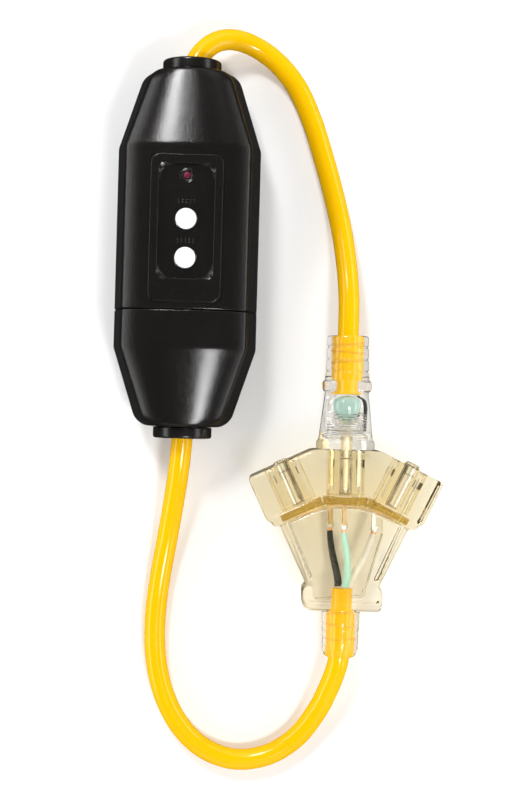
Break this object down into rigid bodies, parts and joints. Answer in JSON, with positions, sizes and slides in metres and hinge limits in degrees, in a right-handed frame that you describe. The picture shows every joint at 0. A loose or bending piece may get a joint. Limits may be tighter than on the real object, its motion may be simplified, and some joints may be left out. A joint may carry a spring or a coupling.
{
  "type": "in-line ground-fault tester lead",
  "caption": "In-line ground-fault tester on a short lead: module with test and reset buttons, a clear plug and a clear connector with a fan of outlets.",
  "frame": {"origin": "middle of the module's flat back face, which is the plane the whole part lies on", "axes": "+Z out of the button face, +Y along the module to its line end, +X towards the plug and connector"},
  "size_m": [0.1579, 0.3582, 0.0443],
  "materials": {
    "housing": "near-black moulded plastic, fine grain with a soft shine",
    "rubber": "black moulded rubber collar",
    "button": "white moulded plastic",
    "lens": "dark red tinted lens",
    "led": "red lamp",
    "fibreglass": "green coated fibreglass board",
    "nylon": "natural nylon",
    "epoxy": "black potting resin",
    "varistor": "blue dipped coating",
    "copper": "enamelled copper wire",
    "brass": "plain stamped brass",
    "steel": "zinc plated steel",
    "nickel": "nickel plated",
    "jacket": "glossy yellow vinyl jacket",
    "black_wire": "black insulation",
    "white_wire": "white insulation",
    "green_wire": "pale green insulation",
    "clear_vinyl": "clear moulded vinyl",
    "amber_vinyl": "clear vinyl with an amber tint",
    "amber_insert": "deeper amber clear plastic",
    "lamp": "milky mint lamp capsule"
  },
  "bodies": {
    "root": {"front_cover": "housing", "rear_cover": "housing", "end_cover_front": "housing", "end_cover_rear": "housing", "line_grommet": "rubber", "load_grommet": "rubber", "housing_screw_1": "steel", "housing_screw_2": "steel", "housing_screw_3": "steel", "housing_screw_4": "steel", "housing_screw_5": "steel", "housing_screw_6": "steel", "test_button_spring": "steel", "reset_button_spring": "steel", "indicator_lens": "lens", "indicator_led": "led", "circuit_board": "fibreglass", "sensor_coil": "epoxy", "solenoid_frame": "steel", "solenoid_winding": "copper", "plunger_spring": "steel", "mechanism_frame": "nylon", "contact_spring": "steel", "fixed_contact_hot": "brass", "fixed_contact_neutral": "brass", "control_chip": "epoxy", "surge_varistor": "varistor", "line_clamp": "nylon", "load_clamp": "nylon", "line_hot_wire": "black_wire", "line_neutral_wire": "white_wire", "load_hot_wire": "black_wire", "load_neutral_wire": "white_wire", "ground_wire": "green_wire", "upper_cord": "jacket", "lower_cord": "jacket", "connector_body": "amber_vinyl", "outlet_insert_left": "amber_insert", "outlet_insert_middle": "amber_insert", "outlet_insert_right": "amber_insert", "hot_strip": "brass", "neutral_strip": "nickel", "ground_strip": "brass", "connector_black_wire": "black_wire", "connector_green_wire": "green_wire", "connector_white_wire": "white_wire"},
    "test_button": {"test_button": "button"},
    "reset_button": {"reset_button": "button"},
    "trip_plunger": {"trip_plunger": "steel"},
    "contact_carrier": {"contact_carrier": "nylon", "moving_contact_hot": "nickel", "moving_contact_neutral": "nickel"},
    "plug": {"plug_body": "clear_vinyl", "plug_core": "clear_vinyl", "plug_hot_blade": "brass", "plug_neutral_blade": "nickel", "plug_ground_pin": "brass", "plug_lamp": "lamp", "plug_black_wire": "black_wire", "plug_white_wire": "white_wire"}
  },
  "joints": [
    {"name": "press_test", "type": "slide", "parent": "root", "child": "test_button", "axis": [0, 0, -1], "range_m": [0, 0.0018], "stiffness_N_per_m": 500, "deforming": ["test_button_spring"]},
    {"name": "press_reset", "type": "slide", "parent": "root", "child": "reset_button", "axis": [0, 0, -1], "range_m": [0, 0.0022], "stiffness_N_per_m": 600, "deforming": ["reset_button_spring"]},
    {"name": "trip_pull", "type": "slide", "parent": "root", "child": "trip_plunger", "axis": [-1, 0, 0], "range_m": [0, 0.003], "stiffness_N_per_m": 300, "deforming": ["plunger_spring"]},
    {"name": "contact_drop", "type": "slide", "parent": "root", "child": "contact_carrier", "axis": [0, 0, 1], "range_m": [-0.002, 0], "stiffness_N_per_m": 500, "deforming": ["contact_spring"]},
    {"name": "plug_pull", "type": "slide", "parent": "root", "child": "plug", "axis": [0, 1, 0], "range_m": [0, 0.022], "deforming": ["upper_cord"]}
  ]
}
